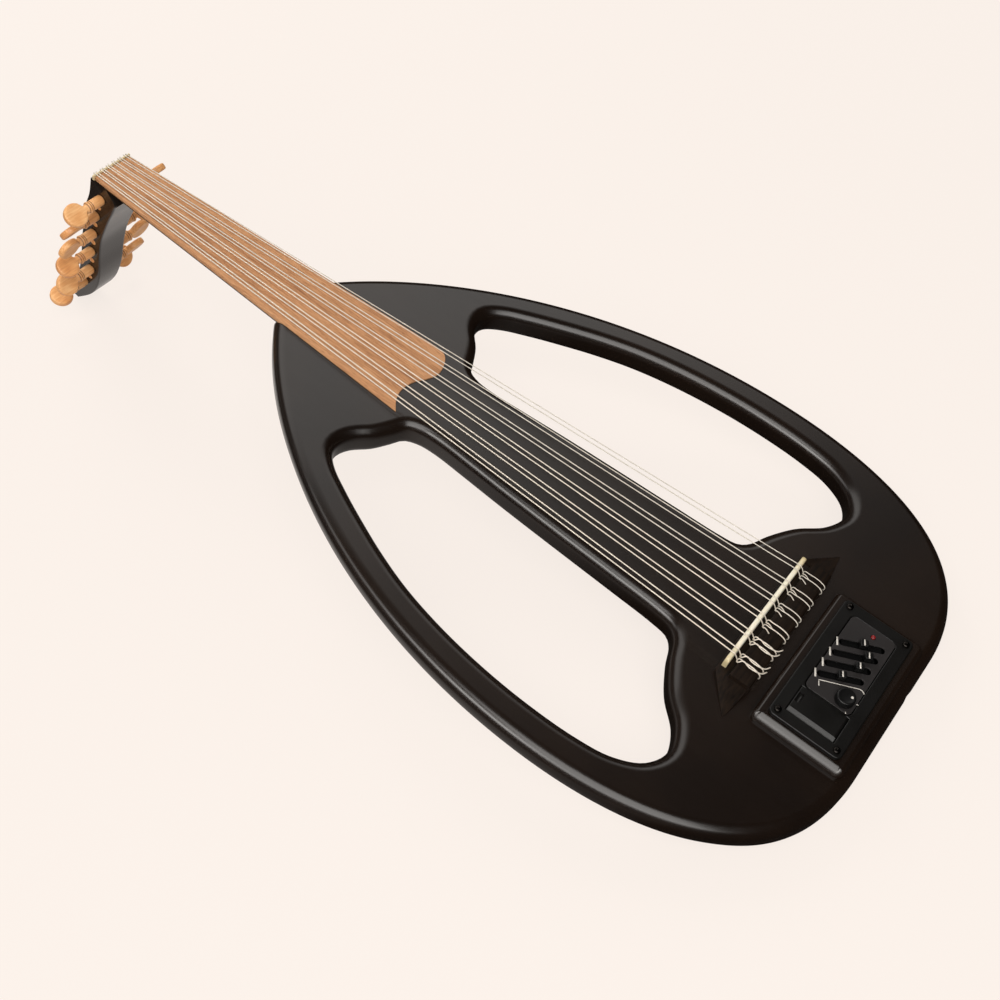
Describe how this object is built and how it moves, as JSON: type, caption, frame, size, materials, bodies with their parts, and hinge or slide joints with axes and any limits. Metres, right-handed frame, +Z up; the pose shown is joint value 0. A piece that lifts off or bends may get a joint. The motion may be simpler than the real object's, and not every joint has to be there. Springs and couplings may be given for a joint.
{
  "type": "electric oud",
  "caption": "Thin solid-body electric lute with two body windows, a bent-back pegbox with turning pegs, double courses and a slider preamp on a raised plinth.",
  "frame": {"origin": "on the table surface, under the centre of the whole object's box", "axes": "+Y from the tail to the pegbox along the length, +X to the treble side, +Z up; the body leans about 11 degrees, resting on its tail edge and the pegbox tip"},
  "size_m": [0.36, 0.7508, 0.1561],
  "materials": {
    "black_lacquer": "satin black lacquer over wood",
    "fingerboard_wood": "bare medium-brown open-grained wood",
    "peg_wood": "oiled orange-brown turned wood",
    "bridge_wood": "dark brown wood, satin",
    "bone": "polished cream bone",
    "wound_string": "fine metal winding",
    "nylon_string": "clear nylon",
    "housing_plastic": "fine-textured black moulded plastic",
    "panel_paint": "dark grey panel",
    "cap_plastic": "black cap with a white line",
    "lamp_red": "red lens",
    "plain_steel": "plated steel",
    "cell_steel": "bright coin cell",
    "circuit_board": "green laminate",
    "jack_nickel": "nickel plate",
    "lead_rubber": "black sleeve"
  },
  "bodies": {
    "instrument": {"body": "black_lacquer", "neck": "black_lacquer", "fingerboard": "fingerboard_wood", "nut": "bone", "pegbox": "black_lacquer", "bridge": "bridge_wood", "saddle": "bone", "piezo_strip": "plain_steel", "string_01": "wound_string", "string_02": "wound_string", "string_03": "wound_string", "string_04": "wound_string", "string_05": "wound_string", "string_06": "wound_string", "string_07": "nylon_string", "string_08": "nylon_string", "string_09": "nylon_string", "string_10": "nylon_string", "string_11": "nylon_string", "string_12": "nylon_string", "preamp_plinth": "black_lacquer", "preamp_housing": "housing_plastic", "control_panel": "panel_paint", "slide_pot_1": "plain_steel", "slide_pot_2": "plain_steel", "slide_pot_3": "plain_steel", "slide_pot_4": "plain_steel", "volume_pot": "plain_steel", "power_lamp": "lamp_red", "housing_screw_1": "plain_steel", "housing_screw_2": "plain_steel", "housing_screw_3": "plain_steel", "housing_screw_4": "plain_steel", "battery_cell_1": "cell_steel", "battery_cell_2": "cell_steel", "circuit_board": "circuit_board", "output_jack": "jack_nickel", "jack_nut": "jack_nickel", "pickup_lead": "lead_rubber"},
    "peg_bass_1": {"peg_bass_1": "peg_wood"},
    "peg_treble_1": {"peg_treble_1": "peg_wood"},
    "peg_bass_2": {"peg_bass_2": "peg_wood"},
    "peg_treble_2": {"peg_treble_2": "peg_wood"},
    "peg_bass_3": {"peg_bass_3": "peg_wood"},
    "peg_treble_3": {"peg_treble_3": "peg_wood"},
    "peg_bass_4": {"peg_bass_4": "peg_wood"},
    "peg_treble_4": {"peg_treble_4": "peg_wood"},
    "peg_bass_5": {"peg_bass_5": "peg_wood"},
    "peg_treble_5": {"peg_treble_5": "peg_wood"},
    "peg_bass_6": {"peg_bass_6": "peg_wood"},
    "peg_treble_6": {"peg_treble_6": "peg_wood"},
    "slider_cap_1": {"slider_cap_1": "cap_plastic"},
    "slider_cap_2": {"slider_cap_2": "cap_plastic"},
    "slider_cap_3": {"slider_cap_3": "cap_plastic"},
    "slider_cap_4": {"slider_cap_4": "cap_plastic"},
    "volume_knob": {"volume_knob": "cap_plastic"},
    "battery_door": {"battery_door": "housing_plastic"}
  },
  "joints": [
    {"name": "peg_bass_1_turn", "type": "hinge", "parent": "instrument", "child": "peg_bass_1", "pos_m": [-0.01753, 0.29835, 0.13359], "axis": [-1, 0, 0], "continuous": true},
    {"name": "peg_treble_1_turn", "type": "hinge", "parent": "instrument", "child": "peg_treble_1", "pos_m": [0.01685, 0.30468, 0.12356], "axis": [1, 0, 0], "continuous": true},
    {"name": "peg_bass_2_turn", "type": "hinge", "parent": "instrument", "child": "peg_bass_2", "pos_m": [-0.01617, 0.31053, 0.11325], "axis": [-1, 0, 0], "continuous": true},
    {"name": "peg_treble_2_turn", "type": "hinge", "parent": "instrument", "child": "peg_treble_2", "pos_m": [0.01562, 0.3155, 0.10248], "axis": [1, 0, 0], "continuous": true},
    {"name": "peg_bass_3_turn", "type": "hinge", "parent": "instrument", "child": "peg_bass_3", "pos_m": [-0.01507, 0.32019, 0.09159], "axis": [-1, 0, 0], "continuous": true},
    {"name": "peg_treble_3_turn", "type": "hinge", "parent": "instrument", "child": "peg_treble_3", "pos_m": [0.01456, 0.32478, 0.08065], "axis": [1, 0, 0], "continuous": true},
    {"name": "peg_bass_4_turn", "type": "hinge", "parent": "instrument", "child": "peg_bass_4", "pos_m": [-0.01405, 0.32918, 0.06964], "axis": [-1, 0, 0], "continuous": true},
    {"name": "peg_treble_4_turn", "type": "hinge", "parent": "instrument", "child": "peg_treble_4", "pos_m": [0.0135, 0.33319, 0.05848], "axis": [1, 0, 0], "continuous": true},
    {"name": "peg_bass_5_turn", "type": "hinge", "parent": "instrument", "child": "peg_bass_5", "pos_m": [-0.0129, 0.33726, 0.04734], "axis": [-1, 0, 0], "continuous": true},
    {"name": "peg_treble_5_turn", "type": "hinge", "parent": "instrument", "child": "peg_treble_5", "pos_m": [0.01226, 0.34288, 0.03694], "axis": [1, 0, 0], "continuous": true},
    {"name": "peg_bass_6_turn", "type": "hinge", "parent": "instrument", "child": "peg_bass_6", "pos_m": [-0.01154, 0.35093, 0.02825], "axis": [-1, 0, 0], "continuous": true},
    {"name": "peg_treble_6_turn", "type": "hinge", "parent": "instrument", "child": "peg_treble_6", "pos_m": [0.01082, 0.35913, 0.01968], "axis": [1, 0, 0], "continuous": true},
    {"name": "slider_cap_1_slide", "type": "slide", "parent": "instrument", "child": "slider_cap_1", "axis": [0.4695, -0.8668, -0.1679], "range_m": [-0.0137, 0.0137]},
    {"name": "slider_cap_2_slide", "type": "slide", "parent": "instrument", "child": "slider_cap_2", "axis": [0.4695, -0.8668, -0.1679], "range_m": [-0.0215, 0.0059]},
    {"name": "slider_cap_3_slide", "type": "slide", "parent": "instrument", "child": "slider_cap_3", "axis": [0.4695, -0.8668, -0.1679], "range_m": [-0.02025, 0.00715]},
    {"name": "slider_cap_4_slide", "type": "slide", "parent": "instrument", "child": "slider_cap_4", "axis": [0.4695, -0.8668, -0.1679], "range_m": [-0.01339, 0.01401]},
    {"name": "volume_knob_turn", "type": "hinge", "parent": "instrument", "child": "volume_knob", "pos_m": [-0.0252, -0.34657, 0.03878], "axis": [0, -0.1901, 0.9818], "range_deg": [-140, 140]},
    {"name": "battery_door_hinge", "type": "hinge", "parent": "instrument", "child": "battery_door", "pos_m": [-0.045, -0.35339, 0.03562], "axis": [1, 0, 0], "range_deg": [0, 100]}
  ]
}
